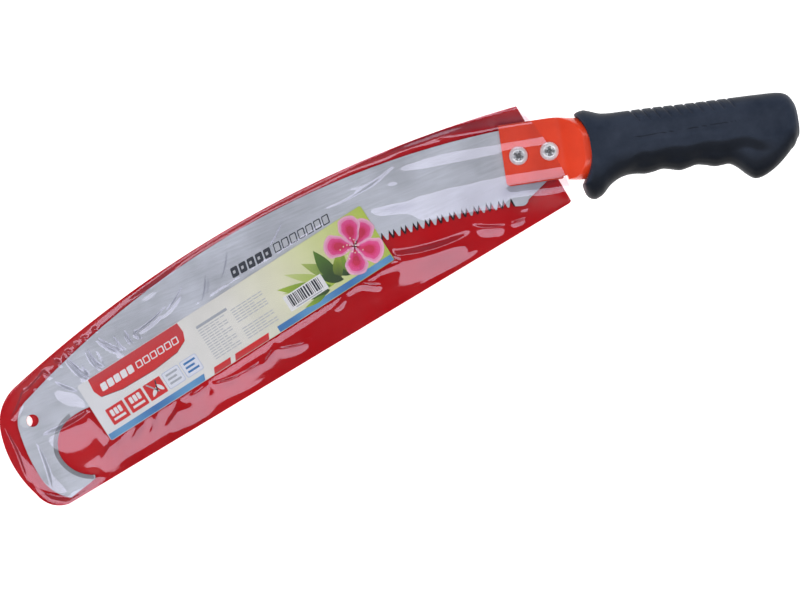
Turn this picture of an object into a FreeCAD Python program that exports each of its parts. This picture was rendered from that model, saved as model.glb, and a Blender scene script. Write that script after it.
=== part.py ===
import FreeCAD, Part
import math
import os

# Curved pruning saw with a hooked tip, a folded sheet-metal ferrule, a moulded grip and a welded sheath.
# Everything is laid out with X along the grip towards its butt, Y towards the blade's back, and Z
# square to the blade. Z = 0 is the middle of the blade's thickness, and X = 0 is the grip's mouth.
# The last step moves the whole saw so that its origin is the middle of its underside.
# Sizes are in millimetres.

V = FreeCAD.Vector

# ---- Driving sizes ---------------------------------------------------------------------------------------

# Blade
blade_stock = 1.5            # thickness of the steel
blade_reach = 325.0          # from the ferrule's front edge to the blade's far turning point
blade_drop = 120.0           # how far that point lies below the grip's axis
back_bow = 32.6              # rise of the curved back above its chord
tooth_bow = 19.2             # rise of the toothed edge's curve above its chord
hang_hole_d = 8.0
hang_hole_inset = 2.7        # from the turning point towards the grip
tooth_pitch = 4.0
tooth_depth = 5.7
tooth_slant = 35.0           # degrees; neighbouring gullets are filed from opposite sides
hook_bevel = 2.6             # width of the ground band along the hook's inner edge
hook_bevel_depth = 0.9

# Ferrule
sheet = 1.5                  # thickness of the folded sheet
cheek_front = -55.0          # X of the front edge
cheek_rear = -19.0           # X where the flat cheeks start to open into the socket
cheek_top = 22.8
cheek_bottom = -17.0
socket_start = -4.0          # X where the socket has its full height
socket_height = 39.0
socket_width = 27.0
tang_start = 14.0            # X where the drawn-down tail of the socket starts, inside the grip
tang_end = 92.0
tang_height = 31.0
tang_width = 21.0
slot_clearance = 0.05        # between the blade and each cheek
fold_clearance = 1.0         # between the blade's back and the inside of the fold
edge_flat = 0.05             # flat left between the two rounded edges of the fold
corner_radius = 3.0          # lower front corner of each cheek
notch_length = 3.0           # clearance notch at the lower rear of each cheek
notch_height = 2.6
notch_sink = 1.6             # how far the notch reaches below the cheeks' lower edge

# Fasteners
screw_d = 6.0
screw_head_d = 12.0
screw_head_height = 3.6
recess_share = 0.62          # depth of the cross recess as a share of the head's height
recess_width = 1.1
recess_well_d = 3.0          # across the middle of the recess at the top
screw_proud = 1.5            # shank left past the nut
screw_y = 1.5
screw_front_x = -45.0
screw_rear_x = -25.0
hole_clearance = 0.2         # radial, round the shanks
thread_clearance = 0.02      # radial, between shank and nut
washer_d = 10.6
washer_thickness = 1.5
washer_split = 0.8
nut_across_flats = 10.0
nut_height = 5.0

# Grip
grip_length = 142.0          # from the guard lip's front edge to the butt
grip_front = -6.5            # X of that front edge
grip_corner_share = 0.78     # corner radius as a share of half the thickness
mouth_radius = 38.0          # the hollow front face is part of a cylinder of this radius
mouth_x = 1.0                # X of the bottom of that hollow
mould_clearance = 0.05       # between the socket and the rubber moulded round it
groove_top = 19.6            # Y of the grip's back where the grooves are
groove_count = 10
groove_pitch = 6.8
groove_first_x = 30.0
groove_width = 1.5
groove_depth = 1.1
groove_lean = 28.0           # degrees
groove_reach = 6.5           # how far each groove runs down from the grip's back

# Sheath
film = 0.5                   # thickness of each panel
seam = 0.6                   # width of the weld round the edge
film_gap = 0.45              # between the film and the steel, each side
sheath_bow = 21.7            # rise of the upper seam above its chord
mouth_top = V(-41.5, 33.3, 0)
mouth_bottom = V(-13.2, -31.7, 0)
front_mouth_bow = 3.8        # how far the clear panel's mouth edge bows out
back_mouth_bow = 0.3
back_mouth_inset = 2.5       # the back panel's mouth starts this much further in at its lower end
head_gap = 0.6               # between the clear panel and the screw heads
nut_gap = 0.7                # between the back panel and the screw ends
ramp_start = -110.0          # X where the sheath starts to swell for the fasteners
ramp_end = -62.0
sheath_hole_shift = 4.3      # the sheath's hanging hole lies this far past the blade's
sheath_start_x = 20.0        # the outline is drawn on to here before its mouth is cut

# Card
card_length = 215.0
card_width = 41.2
card_thickness = 0.3
card_corner = 1.5
card_angle = 24.1            # degrees
card_middle_x = 140.5        # the card's middle, from the blade's turning point
card_middle_y = 42.5
card_gap = 0.4               # between the card and the steel

# ---- Worked-out sizes ------------------------------------------------------------------------------------

half_stock = blade_stock / 2
slot_half = half_stock + slot_clearance
cheek_face = slot_half + sheet                 # Z of the cheeks' outer faces
screw_r = screw_d / 2
hole_r = screw_r + hole_clearance
nut_base = cheek_face + washer_thickness       # distance of the nut's near face from Z = 0
screw_end = nut_base + nut_height + screw_proud
head_top = cheek_face + screw_head_height
toe = V(cheek_front - blade_reach, -blade_drop, 0)     # the blade's far turning point
hang_hole = toe + V(hang_hole_inset, 0, 0)
card_base = half_stock + card_gap
cavity_front = card_base + card_thickness + film_gap   # inside height of the sheath over the card
cavity_back = half_stock + card_gap + film_gap         # the back panel stands off as far as the card does
cavity_front_mouth = head_top + head_gap
cavity_back_mouth = screw_end + nut_gap
far = 600.0                                    # longer than anything here, for cutting tools


# ---- Outline helpers -------------------------------------------------------------------------------------

def rise(start, end, height):
    """The middle point of an arc from start to end that bows to the left of that direction by height."""
    chord = end - start
    normal = V(-chord.y, chord.x, 0)
    normal.normalize()
    return (start + end) * 0.5 + normal * height


def outline(start, *legs):
    """A closed face. A leg of one point is a straight line; a leg of two is an arc through the first."""
    edges = []
    here = start
    for leg in legs:
        there = leg[-1]
        if len(leg) == 1:
            edges.append(Part.LineSegment(here, there).toShape())
        else:
            edges.append(Part.Arc(here, leg[0], there).toShape())
        here = there
    if (here - start).Length > 1e-6:
        edges.append(Part.LineSegment(here, start).toShape())
    return Part.Face(Part.Wire(edges))


def plate(face, bottom, top):
    """The face pushed out from Z = bottom to Z = top."""
    flat = face.copy()
    flat.translate(V(0, 0, bottom))
    return flat.extrude(V(0, 0, top - bottom))


def drill(x, y, radius):
    return Part.makeCylinder(radius, far, V(x, y, -far / 2))


# ---- Blade -----------------------------------------------------------------------------------------------

hook_tip = toe + V(37.0, -40.2, 0)
hook_low = toe + V(24.4, -35.4, 0)
hook_deep = toe + V(16.4, -24.0, 0)
hook_high = toe + V(18.6, -10.0, 0)
hook_end = toe + V(28.0, -1.2, 0)
heel = V(cheek_front + 3.0, -30.0, 0)                  # where the toothed edge starts
throat = toe + V(39.0, 3.0, 0)                         # where it runs into the hook
back_front = toe + V(2.0, 14.4, 0)                     # where the curved back runs into the nose
back_rear = V(cheek_rear - 2.0, cheek_top - sheet - fold_clearance, 0)


def blade_face():
    return outline(
        back_rear,
        (rise(back_rear, back_front, -back_bow), back_front),
        (toe + V(-5.4, 5.8, 0), toe + V(-7.0, -3.0, 0)),
        (toe + V(-4.2, -18.0, 0), toe + V(3.0, -38.0, 0)),
        (toe + V(9.6, -46.6, 0), toe + V(20.0, -52.3, 0)),
        (toe + V(37.0, -42.6, 0),),
        (hook_tip,),
        (hook_low, hook_deep),
        (hook_high, hook_end),
        (toe + V(33.0, 1.2, 0), throat),
        (rise(throat, heel, tooth_bow), heel),
        (heel + V(4.6, -0.4, 0),),
        (heel + V(8.0, 0.6, 0), heel + V(9.4, 3.0, 0)),
        (V(cheek_rear - 2.0, cheek_bottom + 6.0, 0),),
    )


def tooth_arc():
    """The curve that the tooth tips lie on."""
    return Part.Arc(heel, rise(throat, heel, tooth_bow), throat)


def gullets():
    """V-shaped cutters along the toothed edge, leaning to alternate sides."""
    curve = tooth_arc()
    count = int(curve.length() / tooth_pitch) - 1
    half_width = tooth_pitch / 2
    overshoot = 0.6
    spread = half_width * (tooth_depth + overshoot) / tooth_depth
    cutters = []
    for index in range(count):
        at = curve.parameterAtDistance((index + 0.5) * tooth_pitch, curve.FirstParameter)
        tip = curve.value(at)
        along = curve.tangent(at)[0]
        inward = V(-along.y, along.x, 0)
        if inward.y < 0:
            inward = inward * -1
        lean = math.tan(math.radians(tooth_slant)) * (1 if index % 2 else -1)
        push = (V(0, 0, 1) + along * lean) * (blade_stock + 2)
        root = tip + inward * tooth_depth - push * 0.5
        left = tip - inward * overshoot - along * spread - push * 0.5
        right = tip - inward * overshoot + along * spread - push * 0.5
        cutters.append(outline(root, (left,), (right,)).extrude(push))
    return cutters


def hook_notch(grow, z):
    """The hook's opening as a closed wire at height z, grown outwards into the steel."""
    middle = toe + V(40.0, -20.0, 0)
    points = []
    for corner in (hook_tip, hook_low, hook_deep, hook_high, hook_end):
        outward = corner - middle
        outward.normalize()
        points.append(corner + outward * grow + V(0, 0, z))
    tip, low, deep, high, end = points
    return Part.Wire([
        Part.Arc(tip, low, deep).toShape(),
        Part.Arc(deep, high, end).toShape(),
        Part.LineSegment(end, tip).toShape(),
    ])


def hook_grinding():
    """A cutter that grinds a sloping band on the front face along the hook's inner edge."""
    above = 0.3
    grown = hook_bevel * (hook_bevel_depth + above) / hook_bevel_depth
    edge = hook_notch(0, half_stock - hook_bevel_depth)
    return Part.makeLoft([edge, hook_notch(grown, half_stock + above)], True, True)


def make_blade():
    blade = plate(blade_face(), -half_stock, half_stock)
    blade = blade.cut([hook_grinding()] + gullets())
    for x in (screw_front_x, screw_rear_x):
        blade = blade.cut(drill(x, screw_y, hole_r))
    blade = blade.cut(drill(hang_hole.x, hang_hole.y, hang_hole_d / 2))
    return blade.removeSplitter()


# ---- Ferrule ---------------------------------------------------------------------------------------------

def stadium(x, bottom, top, half_width):
    """A section square to X: two straight sides and a half-round at each end."""
    low = bottom + half_width
    high = top - half_width
    if high <= low:
        low = high = (bottom + top) / 2
    right_low = V(x, low, half_width)
    right_high = V(x, high, half_width)
    left_high = V(x, high, -half_width)
    left_low = V(x, low, -half_width)
    return Part.Wire([
        Part.LineSegment(right_low, right_high).toShape(),
        Part.Arc(right_high, V(x, top, 0), left_high).toShape(),
        Part.LineSegment(left_high, left_low).toShape(),
        Part.Arc(left_low, V(x, bottom, 0), right_low).toShape(),
    ])


def socket(inset):
    """The socket's solid form, with its walls moved in by inset. A negative inset makes it larger."""
    tail = tang_end - min(inset, 0)
    half_height = socket_height / 2
    half_tang = tang_height / 2
    sections = [
        stadium(cheek_rear, cheek_bottom + inset, cheek_top - inset, cheek_face - inset),
        stadium(socket_start, -half_height + inset, half_height + 0.6 - inset, socket_width / 2 - inset),
        stadium(mouth_x, -half_height + inset, half_height - inset, socket_width / 2 - inset),
        stadium(tang_start, -half_tang + inset, half_tang - inset, tang_width / 2 - inset),
        stadium(tail, -half_tang + inset, half_tang - inset, tang_width / 2 - inset),
    ]
    return Part.makeLoft(sections, True, True)


def make_ferrule():
    cheek_height = cheek_top - cheek_bottom
    cheek_corner = V(cheek_front, cheek_bottom, -cheek_face)
    cheek = Part.makeBox(cheek_rear - cheek_front, cheek_height, 2 * cheek_face, cheek_corner)
    fold_edges = [
        edge for edge in cheek.Edges
        if abs(edge.CenterOfMass.y - cheek_top) < 1e-6 and abs(abs(edge.CenterOfMass.z) - cheek_face) < 1e-6
    ]
    cheek = cheek.makeFillet(cheek_face - edge_flat, fold_edges)
    corner = [
        edge for edge in cheek.Edges
        if abs(edge.CenterOfMass.x - cheek_front) < 1e-6
        and abs(edge.CenterOfMass.y - cheek_bottom) < 1e-6
        and edge.Length > sheet
    ]
    cheek = cheek.makeFillet(corner_radius, corner)
    body = cheek.fuse(socket(0))
    slot_corner = V(cheek_front - 1, cheek_bottom - sheet, -slot_half)
    slot = Part.makeBox(cheek_rear - cheek_front + 1, cheek_height, 2 * slot_half, slot_corner)
    notch_corner = V(cheek_rear + 1, cheek_bottom - notch_sink, -far / 2)
    notch = Part.makeBox(notch_length, notch_height, far, notch_corner)
    body = body.cut([slot, socket(sheet), notch])
    for x in (screw_front_x, screw_rear_x):
        body = body.cut(drill(x, screw_y, hole_r))
    return body.removeSplitter()


# ---- Fasteners -------------------------------------------------------------------------------------------

def make_screw(x):
    """Pan head with a cross recess on the front, and a plain shank through to past the nut."""
    base = V(x, screw_y, cheek_face)
    head_r = screw_head_d / 2
    crown = head_r * 0.35
    profile = outline(
        V(0, 0, 0),
        (V(head_r, 0, 0),),
        (V(head_r, screw_head_height * 0.35, 0),),
        (V(head_r * 0.86, screw_head_height * 0.78, 0), V(crown, screw_head_height, 0)),
        (V(0, screw_head_height, 0),),
    )
    head = profile.revolve(V(0, 0, 0), V(0, 1, 0), 360)
    head.rotate(V(0, 0, 0), V(1, 0, 0), 90)
    head.translate(base)
    shank = Part.makeCylinder(screw_r, cheek_face + screw_end, V(x, screw_y, -screw_end))
    recess_depth = screw_head_height * recess_share
    recess_floor = screw_head_height - recess_depth
    arm = head_r * 1.05
    for turn in (20, 110):
        bar_corner = V(-arm / 2, -recess_width / 2, recess_floor)
        bar = Part.makeBox(arm, recess_width, recess_depth + 1, bar_corner)
        bar.rotate(V(0, 0, 0), V(0, 0, 1), turn)
        bar.translate(base)
        head = head.cut(bar)
    well_r = recess_well_d / 2
    well = Part.makeCone(well_r / 3, well_r, recess_depth, base + V(0, 0, recess_floor))
    return head.cut(well).fuse(shank).removeSplitter()


def make_washer(x):
    """A split spring washer, flattened by the nut."""
    base = V(x, screw_y, -nut_base)
    ring = Part.makeCylinder(washer_d / 2, washer_thickness, base)
    ring = ring.cut(Part.makeCylinder(hole_r, washer_thickness, base))
    split_corner = V(0, -washer_split / 2, -1.5 * washer_thickness)
    split = Part.makeBox(washer_d, washer_split, 3 * washer_thickness, split_corner)
    split.rotate(V(0, 0, 0), V(1, 0, 0), 25)
    split.translate(base + V(0, 0, washer_thickness / 2))
    return ring.cut(split)


def make_nut(x):
    base = V(x, screw_y, -nut_base - nut_height)
    corner_r = nut_across_flats / math.sqrt(3)
    corners = [V(corner_r * math.cos(math.radians(a)), corner_r * math.sin(math.radians(a)), 0)
               for a in range(10, 370, 60)]
    prism = outline(corners[0], *[(corner,) for corner in corners[1:]]).extrude(V(0, 0, nut_height))
    chamfer = (corner_r - nut_across_flats / 2) * 0.6
    rounding = Part.makeCylinder(corner_r, nut_height)
    rounding = rounding.makeChamfer(chamfer, [edge for edge in rounding.Edges if edge.Closed])
    nut = prism.common(rounding)
    nut.translate(base)
    return nut.cut(drill(x, screw_y, screw_r + thread_clearance))


# ---- Grip ------------------------------------------------------------------------------------------------

# Each station is its distance from the front as a share of the length, its top, its bottom and half its
# thickness: the guard lip, two finger hollows, the hooked butt and the rounded end.
grip_stations = (
    (0.000, 18.0, -21.5, 15.6),
    (0.010, 20.8, -27.0, 17.2),
    (0.025, 23.2, -31.0, 18.3),
    (0.049, 24.4, -33.0, 18.6),
    (0.080, 22.6, -31.4, 17.8),
    (0.115, 20.8, -26.6, 16.8),
    (0.152, 20.2, -23.2, 16.3),
    (0.201, 20.0, -20.9, 16.0),
    (0.285, 19.8, -21.8, 16.0),
    (0.363, 19.6, -20.3, 16.0),
    (0.440, 19.2, -22.8, 16.0),
    (0.518, 18.9, -20.9, 16.0),
    (0.600, 18.6, -23.8, 16.0),
    (0.660, 18.4, -23.4, 16.0),
    (0.700, 18.3, -25.8, 16.1),
    (0.735, 18.2, -32.0, 16.3),
    (0.770, 18.1, -35.0, 16.3),
    (0.820, 17.9, -34.0, 16.0),
    (0.885, 17.6, -28.2, 15.4),
    (0.940, 16.8, -21.6, 14.4),
    (0.968, 14.2, -17.6, 12.8),
    (0.988, 9.4, -12.6, 10.0),
    (1.000, 4.0, -9.0, 6.5),
)


def rounded_section(x, bottom, top, half, radius):
    """A rounded rectangle square to X."""
    cut = radius * (1 - math.sqrt(0.5))
    corners = ((1, 1), (1, -1), (-1, -1), (-1, 1))
    middle_y = (bottom + top) / 2
    half_y = (top - bottom) / 2
    arcs = []
    for y_sign, z_sign in corners:
        on_top = V(x, middle_y + y_sign * half_y, z_sign * (half - radius))
        bulge = V(x, middle_y + y_sign * (half_y - cut), z_sign * (half - cut))
        on_side = V(x, middle_y + y_sign * (half_y - radius), z_sign * half)
        ends = (on_side, on_top) if y_sign == z_sign else (on_top, on_side)
        arcs.append((ends[0], bulge, ends[1]))
    edges = []
    for index, (start, bulge, end) in enumerate(arcs):
        edges.append(Part.Arc(start, bulge, end).toShape())
        edges.append(Part.LineSegment(end, arcs[(index + 1) % 4][0]).toShape())
    return Part.Wire(edges)


def grip_form(inset):
    """The grip's outer form, moved in by inset."""
    sections = []
    for share, top, bottom, half in grip_stations:
        x = grip_front + share * grip_length
        width = half - inset
        sections.append(rounded_section(x, bottom + inset, top - inset, width, width * grip_corner_share))
    return Part.makeLoft(sections, True, False)


def make_grip():
    body = grip_form(0)
    skin = body.cut(grip_form(groove_depth))
    for index in range(groove_count):
        slot = Part.makeBox(groove_width, far, far, V(-groove_width / 2, -groove_reach, -far / 2))
        slot.rotate(V(0, 0, 0), V(0, 0, 1), -groove_lean)
        slot.translate(V(groove_first_x + index * groove_pitch, groove_top, 0))
        body = body.cut(slot.common(skin))
    hollow = Part.makeCylinder(mouth_radius, far, V(mouth_x - mouth_radius, 0, -far / 2))
    return body.cut([hollow, socket(-mould_clearance)])


# ---- Sheath ----------------------------------------------------------------------------------------------

seam_top_end = toe + V(-4.0, 23.8, 0)
seam_nose = toe + V(-18.7, -3.0, 0)
seam_low = toe + V(-2.0, -47.0, 0)
seam_bottom_start = toe + V(18.0, -56.2, 0)


def sheath_face():
    """The sheath's outline, run on past its mouth so that the mouth can be cut after the seam."""
    upper_middle = rise(seam_top_end, mouth_top, sheath_bow)
    upper = Part.Circle(seam_top_end, upper_middle, mouth_top)
    past_rise = math.sqrt(upper.Radius ** 2 - (sheath_start_x - upper.Center.x) ** 2)
    past_top = V(sheath_start_x, upper.Center.y + past_rise, 0)
    lower = mouth_bottom - seam_bottom_start
    past_bottom = mouth_bottom + lower * ((sheath_start_x - mouth_bottom.x) / lower.x)
    return outline(
        past_top,
        (upper_middle, seam_top_end),
        (toe + V(-15.0, 12.4, 0), seam_nose),
        (toe + V(-14.2, -26.0, 0), seam_low),
        (toe + V(6.0, -54.6, 0), seam_bottom_start),
        (past_bottom,),
    )


def height_profile(inside, inside_mouth, extra):
    """The sheath's side view as a solid that spans Y: low over the blade, high over the fasteners."""
    left = toe.x - far / 4
    right = far / 4
    side = Part.makePolygon([
        V(left, -far, -film),
        V(right, -far, -film),
        V(right, -far, inside_mouth + extra),
        V(ramp_end, -far, inside_mouth + extra),
        V(ramp_start, -far, inside + extra),
        V(left, -far, inside + extra),
        V(left, -far, -film),
    ])
    return Part.Face(side).extrude(V(0, 2 * far, 0))


def mouth_cutter(bow, shift):
    """Everything past the sheath's mouth. The mouth's edge bows out by bow and starts shift further in."""
    low = mouth_bottom - V(shift, 0, 0)
    return plate(outline(
        mouth_top,
        (rise(mouth_top, low, bow), low),
        (low + V(0, -far, 0),),
        (V(far, low.y - far, 0),),
        (V(far, mouth_top.y + far, 0),),
        (V(mouth_top.x, mouth_top.y + far, 0),),
    ), -far, far)


def make_tray(inside, inside_mouth, bow, shift):
    """One formed panel: a flat sheet with a rim whose edge is the weld, open at the mouth."""
    face = sheath_face()
    inner_face = Part.Face(face.OuterWire.makeOffset2D(-seam))
    outer = plate(face, 0, far).common(height_profile(inside, inside_mouth, film))
    inner = plate(inner_face, -film, far).common(height_profile(inside, inside_mouth, 0))
    hole = drill(hang_hole.x - sheath_hole_shift, hang_hole.y, hang_hole_d / 2)
    return outer.cut([inner, mouth_cutter(bow, shift), hole])


def make_sheath_front():
    return make_tray(cavity_front, cavity_front_mouth, front_mouth_bow, 0)


def make_sheath_back():
    tray = make_tray(cavity_back, cavity_back_mouth, back_mouth_bow, back_mouth_inset)
    return tray.mirror(V(0, 0, 0), V(0, 0, 1))


# ---- Card ------------------------------------------------------------------------------------------------

def make_card():
    half_length = card_length / 2
    half_width = card_width / 2
    card = Part.makeBox(card_length, card_width, card_thickness, V(-half_length, -half_width, card_base))
    upright = [edge for edge in card.Edges if abs(edge.Length - card_thickness) < 1e-6]
    card = card.makeFillet(card_corner, upright)
    card.rotate(V(0, 0, 0), V(0, 0, 1), card_angle)
    card.translate(toe + V(card_middle_x, card_middle_y, 0))
    return card


# ---- Assembly --------------------------------------------------------------------------------------------

parts = {
    "blade": make_blade(),
    "ferrule": make_ferrule(),
    "screw_front": make_screw(screw_front_x),
    "screw_rear": make_screw(screw_rear_x),
    "washer_front": make_washer(screw_front_x),
    "washer_rear": make_washer(screw_rear_x),
    "nut_front": make_nut(screw_front_x),
    "nut_rear": make_nut(screw_rear_x),
    "grip": make_grip(),
    "sheath_back": make_sheath_back(),
    "sheath_front": make_sheath_front(),
    "label_card": make_card(),
}

bounds = Part.makeCompound(list(parts.values())).optimalBoundingBox(False, False)
to_origin = V(-(bounds.XMin + bounds.XMax) / 2, -(bounds.YMin + bounds.YMax) / 2, -bounds.ZMin)

os.makedirs("parts", exist_ok=True)
for name, shape in parts.items():
    shape.translate(to_origin)
    shape.exportStep(os.path.join("parts", name + ".step"))
    print(name, "solids", len(shape.Solids), "valid", shape.isValid(), "volume", round(shape.Volume, 1))
print("moved by", [round(value, 4) for value in to_origin])
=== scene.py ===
import math

import bpy
import numpy as np
from mathutils import Matrix, Vector
from mathutils.bvhtree import BVHTree


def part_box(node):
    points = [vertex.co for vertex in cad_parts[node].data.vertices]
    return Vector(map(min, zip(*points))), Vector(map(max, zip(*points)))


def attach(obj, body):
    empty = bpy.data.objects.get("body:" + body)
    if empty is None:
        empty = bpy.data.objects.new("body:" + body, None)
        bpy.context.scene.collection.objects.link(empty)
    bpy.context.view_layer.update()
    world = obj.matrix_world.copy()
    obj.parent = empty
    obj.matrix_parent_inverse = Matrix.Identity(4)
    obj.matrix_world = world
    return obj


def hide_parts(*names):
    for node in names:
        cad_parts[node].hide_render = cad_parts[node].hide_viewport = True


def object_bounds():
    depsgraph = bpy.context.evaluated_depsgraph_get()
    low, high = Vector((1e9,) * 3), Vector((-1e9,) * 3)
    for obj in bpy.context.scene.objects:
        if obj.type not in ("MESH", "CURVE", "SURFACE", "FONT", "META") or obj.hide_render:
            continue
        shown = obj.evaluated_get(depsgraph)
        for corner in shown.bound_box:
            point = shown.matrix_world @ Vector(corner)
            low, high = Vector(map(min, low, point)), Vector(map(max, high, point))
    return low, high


# A curved pruning saw in its red and clear sheath. The frame's own shapes are kept for the blade,
# screws, washers, nuts and card; the ferrule, the grip and the sheath's two panels are finer meshes
# that stand for their plain solids. Shapes are laid out in millimetres in the saw's own axes: X along
# the grip towards its butt, Y towards the blade's back, Z square to the blade, 0 at the grip's mouth.

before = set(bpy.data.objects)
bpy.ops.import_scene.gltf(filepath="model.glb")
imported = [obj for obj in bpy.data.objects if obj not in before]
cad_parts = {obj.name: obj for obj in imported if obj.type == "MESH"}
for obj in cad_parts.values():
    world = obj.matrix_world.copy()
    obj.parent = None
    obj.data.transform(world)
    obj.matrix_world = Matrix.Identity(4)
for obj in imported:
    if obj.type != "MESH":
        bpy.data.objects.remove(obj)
cad_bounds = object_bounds()

MM = 0.001
CHEEK_FRONT = -55.0
CHEEK_TOP = 22.8
TOE = np.array([-380.0, -120.0])       # the blade's far turning point

ferrule_low, ferrule_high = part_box("ferrule")
blade_low, blade_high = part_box("blade")
origin = Vector((
    ferrule_low.x - CHEEK_FRONT * MM,
    ferrule_high.y - CHEEK_TOP * MM,
    (blade_low.z + blade_high.z) / 2,
))


# ---- Shared helpers ------------------------------------------------------------------------------

def smoothstep(low, high, value):
    t = np.clip((value - low) / (high - low), 0, 1)
    return t * t * (3 - 2 * t)


def make_piece(name, points, faces, material, body, sharp=40):
    """A mesh from points in millimetres, riding on a body of the frame."""
    mesh = bpy.data.meshes.new(name)
    placed = np.asarray(points, float) * MM + np.array(origin)
    mesh.from_pydata(placed.tolist(), [], [list(map(int, face)) for face in faces])
    mesh.validate()
    mesh.shade_smooth()
    mesh.set_sharp_from_angle(angle=math.radians(sharp))
    mesh.materials.append(material)
    piece = bpy.data.objects.new(name, mesh)
    bpy.context.scene.collection.objects.link(piece)
    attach(piece, body)
    return piece


def grid_faces(rows, columns, wrap=False):
    """Quads of a grid of rows by columns; wrap joins the last column to the first."""
    faces = []
    for row in range(rows - 1):
        for column in range(columns if wrap else columns - 1):
            after = (column + 1) % columns
            faces.append((
                row * columns + column,
                row * columns + after,
                (row + 1) * columns + after,
                (row + 1) * columns + column,
            ))
    return faces


def slab(outer, inner, faces):
    """A closed sheet: outer points with their faces, inner points behind, and walls at the edges."""
    count = len(outer)
    edges = {}
    for face in faces:
        for here, there in zip(face, face[1:] + face[:1]):
            edges[(here, there)] = True
    walls = [
        (there, here, here + count, there + count)
        for here, there in edges if (there, here) not in edges
    ]
    back = [tuple(index + count for index in reversed(face)) for face in faces]
    everything = faces + back + walls
    points = np.concatenate([outer, inner])
    used = sorted({index for face in everything for index in face})
    place = {old: new for new, old in enumerate(used)}
    return points[used], [tuple(place[index] for index in face) for face in everything]


def arc_points(start, middle, end, count):
    """Points along the circular arc through three points."""
    (ax, ay), (bx, by), (cx, cy) = start, middle, end
    scale = 2 * (ax * (by - cy) + bx * (cy - ay) + cx * (ay - by))
    a2, b2, c2 = ax * ax + ay * ay, bx * bx + by * by, cx * cx + cy * cy
    ux = (a2 * (by - cy) + b2 * (cy - ay) + c2 * (ay - by)) / scale
    uy = (a2 * (cx - bx) + b2 * (ax - cx) + c2 * (bx - ax)) / scale
    radius = math.hypot(ax - ux, ay - uy)
    first, mid, last = (math.atan2(y - uy, x - ux) for x, y in (start, middle, end))
    turn = 2 * math.pi
    sweep = (last - first) % turn
    if (mid - first) % turn > sweep:
        sweep -= turn
    angles = first + sweep * np.linspace(0, 1, count)
    return np.stack([ux + radius * np.cos(angles), uy + radius * np.sin(angles)], 1)


def rise(start, end, height):
    """The middle point of an arc from start to end that bows to the left of that direction by height."""
    start, end = np.array(start, float), np.array(end, float)
    along = (end - start) / np.linalg.norm(end - start)
    return (start + end) / 2 + np.array([-along[1], along[0]]) * height


def resample(points, count, ease=1.0):
    """count points along a polyline; ease above 1 crowds them towards its start."""
    steps = np.linalg.norm(np.diff(points, axis=0), axis=1)
    reached = np.concatenate([[0], np.cumsum(steps)])
    wanted = np.linspace(0, 1, count) ** ease * reached[-1]
    return np.stack([np.interp(wanted, reached, points[:, axis]) for axis in (0, 1)], 1)


# ---- Materials -----------------------------------------------------------------------------------

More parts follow.
